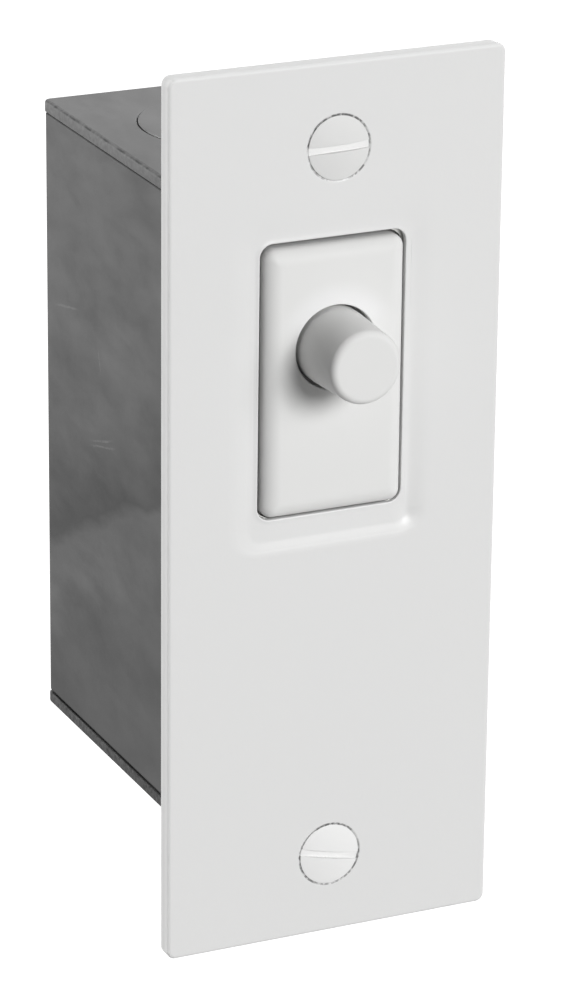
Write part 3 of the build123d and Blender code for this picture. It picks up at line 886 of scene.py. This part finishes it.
def paintedScrew(s):
    # heads painted with the plate, the lower head paler than the upper as painted light, the slots in a pale tone
    # of their own as a painted highlight; behind them the zinc of the shanks shows
    f = Finish("white_screw_zinc_shank")
    y, z = f.axes("YZ")
    shank, inSlot = y > s["shankFrom"], y > plateFront + s["slotBelow"]
    tone = f.noise(3, 3)
    paint = f.mix(tone, s["low"], s["high"])
    # painted light: the lower head is paler than the upper one
    paint = f.mix(z < 0, paint, s["lowerScrewLit"])
    # painted highlight: the slots take a pale tone of their own
    paint = f.mix(inSlot, paint, s["slot"])
    zinc = f.mix(f.noise(1.2, 4), s["zincDull"], s["zincBright"])
    colour = gapRingShade(f, headRing, f.mix(shank, paint, zinc))
    return f.close(Base_Color=colour, Roughness=0.46 + 0.08 * tone, Metallic=shank, Specular_IOR_Level=0.3,
                   Normal=f.bump(f.noise(0.5, 3), 0.012, 0.5))


mouldingShape = dict(
    low=(0.772, 0.772, 0.765), high=(0.8, 0.8, 0.79), bounceLightTone=0.84, glowFrom=5.4, glowReach=0.6, glowSoft=3.0,
    glowLow=0.5, glowHigh=5.5, faceBand=0.2, gapFrom=-1.85, gapFull=-1.3, gapShadeTone=0.6, gloss=0.07,
)


def whiteMoulding(s):
    # moulded white: fine spark texture, slow tone, a painted pool of bounced light above the bore, painted shade
    # deep in the gaps
    f = Finish("white_moulding_satin")
    x, y, z = f.axes("XYZ")
    side, rise = x - insertShift, z - plungerHeight
    radius = x.maths("SQRT", side * side + rise * rise)
    above = f.climb(rise, s["glowLow"], s["glowHigh"])
    onFace = abs(y - insertFront) < s["faceBand"]
    # painted light: a pale crescent on the face above the bore, where light bounces from the plunger
    glow = f.fall(radius - s["glowFrom"], s["glowReach"], s["glowSoft"]) * above * onFace
    colour = f.mix(f.noise(14, 3), s["low"], s["high"])
    colour = f.mix(glow, colour, s["bounceLightTone"])
    # painted shade: darker deep in the gaps behind the plate's front
    colour = f.mix(f.climb(y, s["gapFrom"], s["gapFull"]), colour, s["gapShadeTone"])
    return f.close(Base_Color=colour, Roughness=0.36 + 0.1 * f.noise(3, 2), Specular_IOR_Level=s["gloss"],
                   Normal=f.bump(f.noise(0.16, 2), 0.006, 0.5))


steelShape = dict(
    shadedBodyTones=(0.075, 0.13), litEndTones=(0.141, 0.198), grimeShadeTone=0.03, metallic=0.85, grazeTint=0.6,
    bandGrain=1.2, bandShade=0.36, upperGrain=0.5, upperBandLight=0.32, upperPatch=1.45,
    reflectionSlope=0.477, reflectionAt=4.1, reflectionTurn=0.9, reflectionSpan=100, cloudWarp=2.4, mottleWarp=1.6,
    reflectionStops=((0.0, 0.78), (0.3, 0.765), (0.36, 0.77), (0.44, 0.945), (0.488, 0.92), (0.508, 0.58), (0.57, 0.74),
               (0.66, 0.89), (0.82, 1.0), (0.94, 0.92), (1.0, 1.0)),
    scratches=((40.0, 16.0, -10, 4.0), (28.4, 1.6, -17, 4.0), (28.0, 0.9, -15, 4.5), (29.2, 12.0, 74, 1.8)),
    scratchWidth=0.09, scratchFade=0.6, scratchWander=0.4, scratchTone=0.2, scratchMix=0.32, grimeShadeMix=0.85,
)


def boxSteel(s, name, dark, light):
    # grey zinc on sheet steel: cloudy plating, a painted reflection on one side that is darker towards the bottom,
    # a few scratches, dirt and painted shade along the seams and edges
    f = Finish(name)
    x, y, z = f.axes("XYZ")
    wornAndShaded = f.wear()
    onBand = f.ramp(wornAndShaded, (0.1, 0), (0.35, 1))
    drawn = f.stretched((1, 0.42, 1))
    cloud = f.ramp(f.noise(11, 4, 0.55, drawn), (0.36, 0), (0.64, 1))
    mottle = f.ramp(f.noise(3.6, 4, 0.6, drawn), (0.34, 0), (0.66, 1))
    fine = f.noise(0.5, 3)
    streak = f.noise(2.2, 3, 0.5, f.stretched((1, 1, 0.09)))

    # painted reflection: a band of tone, darker towards the bottom with a dark line across, whose height is
    # measured from a slanting line on the left side, which climbs round the back
    height = z + s["reflectionSlope"] * y - s["reflectionAt"] + s["reflectionTurn"] * (x - bodyLow[0])
    height = height + s["cloudWarp"] * (cloud - 0.5) + s["mottleWarp"] * (mottle - 0.5)
    paintedReflection = f.ramp(height * (1 / s["reflectionSpan"]) + 0.5, *s["reflectionStops"])

    # a scratch is a thin strip on the left side: near its line and between its ends
    strips = []
    for atY, atZ, turn, length in s["scratches"]:
        lean = math.radians(turn)
        along = (y - atY) * math.cos(lean) + (z - atZ) * math.sin(lean)
        across = (z - atZ) * math.cos(lean) - (y - atY) * math.sin(lean)
        thin = f.fall(across + s["scratchWander"] * (mottle - 0.5), s["scratchWidth"], s["scratchWidth"])
        strips.append(thin * f.fall(along, length / 2, length * s["scratchFade"]))
    scratch = sum(strips[1:], strips[0]) * (x < 0) * f.ramp(fine, (0.3, 0.2), (0.6, 1))

    # the sheared bands are darkened as painted shade, and the upper end's band is lifted paler than the lower end's
    # as painted light; the dirt and painted shade on the upper end's edge lie in patches
    upper = z > 0
    smear = f.ramp(f.noise(1.6, 3, 0.6), (0.38, 0.15), (0.56, 1))
    patch = f.ramp(f.noise(2.6, 3, 0.6), (0.46, 0.1), (0.57, 1))
    grimeAndShade = f.ramp(wornAndShaded, (0.45, 0), (0.95, 1)) * (smear + upper * (s["upperPatch"] * patch - smear))
    grain = (s["bandGrain"] - s["upperGrain"] * upper) * (fine - 0.5)
    bandGrainAndShading = onBand * (grain - s["bandShade"] + s["upperBandLight"] * upper)
    shade = 0.45 * cloud + 0.3 * mottle + 0.1 * streak + 0.15 * f.noise(0.9, 3, 0.6)
    base = f.mix(1.0, f.mix(shade, dark, light), paintedReflection * (1 + bandGrainAndShading), "MULTIPLY")
    base = f.mix(s["scratchMix"] * scratch, base, s["scratchTone"])
    # dirt and painted shade darken the marked seams and edges
    base = f.mix(s["grimeShadeMix"] * grimeAndShade, base, s["grimeShadeTone"])
    rough = 0.44 + 0.12 * cloud + 0.06 * mottle + 0.25 * onBand
    return f.close(Base_Color=base, Roughness=rough, Metallic=s["metallic"], Specular_Tint=s["grazeTint"],
                   Normal=f.bump(0.6 * streak + 0.4 * fine - 0.5 * scratch, 0.008, 0.5))


def brightZinc():
    # strap, rivets and retainer: bright plate with rolling lines
    f = Finish("strap_zinc_bright")
    line = f.noise(0.5, 3, 0.5, f.stretched((1, 1, 0.05)))
    cloud = f.noise(6, 3)
    colour = f.mix(0.5 * line + 0.5 * cloud, (0.5, 0.5, 0.49), (0.62, 0.62, 0.6))
    return f.close(Base_Color=colour, Roughness=0.26 + 0.16 * cloud, Metallic=1.0, Normal=f.bump(line, 0.008, 0.4))


def springWire():
    # drawn wire: bright with faint drawing marks
    f = Finish("spring_wire_drawn")
    marks = f.noise(0.3, 3)
    return f.twoTone(marks, (0.42, 0.42, 0.42), (0.58, 0.58, 0.57), 0.22, 0.12, Metallic=1.0,
                     Normal=f.bump(marks, 0.004, 0.4))


def darkMoulding():
    # black phenolic: faint flow marks, satin
    f = Finish("dark_moulding_phenolic")
    flow = f.noise(5, 4, 0.6, f.stretched((1, 0.4, 1)))
    return f.twoTone(flow, (0.022, 0.02, 0.019), (0.042, 0.038, 0.035), 0.34, 0.16,
                     Normal=f.bump(f.noise(0.3, 2), 0.008, 0.4))


def stampedBrass():
    # stamped brass: warm, slightly dulled in patches
    f = Finish("contact_brass_stamped")
    dull = f.ramp(f.noise(2.6, 4), (0.4, 0), (0.7, 1))
    return f.twoTone(dull, (0.74, 0.53, 0.2), (0.5, 0.34, 0.14), 0.24, 0.2, Metallic=1.0,
                     Normal=f.bump(f.noise(0.25, 3), 0.005, 0.4))


def silverPoint():
    # contact points: pale silver with a little tarnish
    f = Finish("contact_silver_points")
    tarnish = f.ramp(f.noise(0.8, 3), (0.45, 0), (0.75, 1))
    return f.twoTone(tarnish, (0.86, 0.85, 0.82), (0.5, 0.46, 0.4), 0.2, 0.25, Metallic=1.0)


def coat(finish, *objects):
    # the finish fills every material slot that a piece has
    for piece in objects:
        if not piece.material_slots:
            piece.data.materials.append(finish)
        for slot in piece.material_slots:
            slot.material = finish


coat(whiteEnamel(enamelShape), faceplate)
coat(paintedScrew(screwPaint), screws)
coat(whiteMoulding(mouldingShape), insert, plunger)
# one steel in two copies: darker tones on the body's sides as painted shade, paler tones on the ends as painted
# light
coat(boxSteel(steelShape, "box_steel_body_shaded", *steelShape["shadedBodyTones"]), boxBody)
coat(boxSteel(steelShape, "box_steel_ends_lit", *steelShape["litEndTones"]), boxEndUpper, boxEndLower)
coat(springWire(), spring)
hiddenCoats = (
    (darkMoulding(), ["switch_base"]),
    (brightZinc(), ["mounting_strap", "strap_rivets", "bridge_retainer"]),
    (stampedBrass(), ["contact_bridge", "terminal_left", "terminal_right", "terminal_screws"]),
    (silverPoint(), ["moving_contacts", "fixed_contacts"]),
)
for finish, names in hiddenCoats:
    coat(finish, *(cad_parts[name] for name in names))
print("finishes set")


# Stage: pale floor, the photograph's camera and five lamps: key and side for the face, rim for the plate's left
# edge and the box's side, back and crown for the rest of the box

stageShape = dict(floorDrop=62, floorSize=6000, floorTone=0.34, floorLift=0.9, ambient=0.027)
lampShapes = dict(
    key=dict(at=(0.708, -2.831, 1.047), size=1.25, power=68.8),
    side=dict(at=(1.489, -2.402, 1.009), size=1.4, power=18.6),
    rim=dict(at=(-0.85, 0.55, 0.15), size=0.12, power=6.65),
    back=dict(at=(0.8, 0.85, 0.0), size=0.6, power=8.0),
    crown=dict(at=(0.1, 0.42, 1.0), size=0.6, power=5.6),
)
cameraShape = dict(place=(-231.411, -489.634, 202.578), forward=(0.392474, 0.850772, -0.349503),
                   right=(0.909486, -0.415625, 0.009577), lens=168.29, sensor=36, near=0.01, far=20)


def seenDirectly(tree):
    # 1 for camera, glossy and transmission rays, which show the background
    names = ("Is Camera Ray", "Is Glossy Ray", "Is Transmission Ray")
    camera, glossy, through = (addNode(tree, "ShaderNodeLightPath", out=name) for name in names)
    return camera.maths("MAXIMUM", camera.maths("MAXIMUM", camera, glossy), through)


def makeWorld(s):
    # white where it is seen, faint as a light
    world = bpy.data.worlds.new("studio")
    scene.world = world
    world.use_nodes = True
    tree = world.node_tree
    tree.nodes.clear()
    strength = s["ambient"] + (1 - s["ambient"]) * seenDirectly(tree)
    light = addNode(tree, "ShaderNodeBackground", (), dict(Color=1.0, Strength=strength))
    endTree(tree, "ShaderNodeOutputWorld", light)


def makeFloor(s):
    # a wide sheet below the part; it takes the shadow, and looks white where none falls
    half, level = s["floorSize"] / 2, plateLow[2] - s["floorDrop"]
    shell = Shell()
    shell.add([(x * half, y * half, level) for x, y in ((-1, -1), (1, -1), (1, 1), (-1, 1))], [(0, 1, 2, 3)])
    floor = shell.build("floor")
    f = Finish("floor_pale")
    matt = f.node("ShaderNodeBsdfDiffuse", (), dict(Color=s["floorTone"]))
    glow = f.node("ShaderNodeEmission", (), dict(Strength=s["floorLift"] * seenDirectly(f.tree)))
    endTree(f.tree, "ShaderNodeOutputMaterial", f.node("ShaderNodeAddShader", (), {0: matt, 1: glow}))
    coat(f.material, floor)


def makeLamp(name, s):
    # a round lamp that looks at the origin
    lamp = bpy.data.lights.new(name, "AREA")
    lamp.shape, lamp.size, lamp.energy = "DISK", s["size"], s["power"]
    holder = bpy.data.objects.new(name, lamp)
    holder.location = s["at"]
    holder.rotation_euler = (-Vector(s["at"])).to_track_quat("-Z", "Y").to_euler()
    scene.collection.objects.link(holder)


def makeCamera(s):
    forward, right = Vector(s["forward"]).normalized(), Vector(s["right"]).normalized()
    up = right.cross(forward)
    turn = Matrix((right, up, -forward)).transposed()
    camera = bpy.data.cameras.new("photo_camera")
    camera.lens, camera.sensor_width, camera.sensor_fit = s["lens"], s["sensor"], "AUTO"
    camera.clip_start, camera.clip_end = s["near"], s["far"]
    holder = bpy.data.objects.new("photo_camera", camera)
    holder.matrix_world = Matrix.Translation(Vector(s["place"]) * mm) @ turn.to_4x4()
    scene.collection.objects.link(holder)
    scene.camera = holder


makeWorld(stageShape)
makeFloor(stageShape)
for lampName, lampShape in lampShapes.items():
    makeLamp("lamp_" + lampName, lampShape)
makeCamera(cameraShape)
scene.view_settings.view_transform = "Standard"
print("stage and camera set")
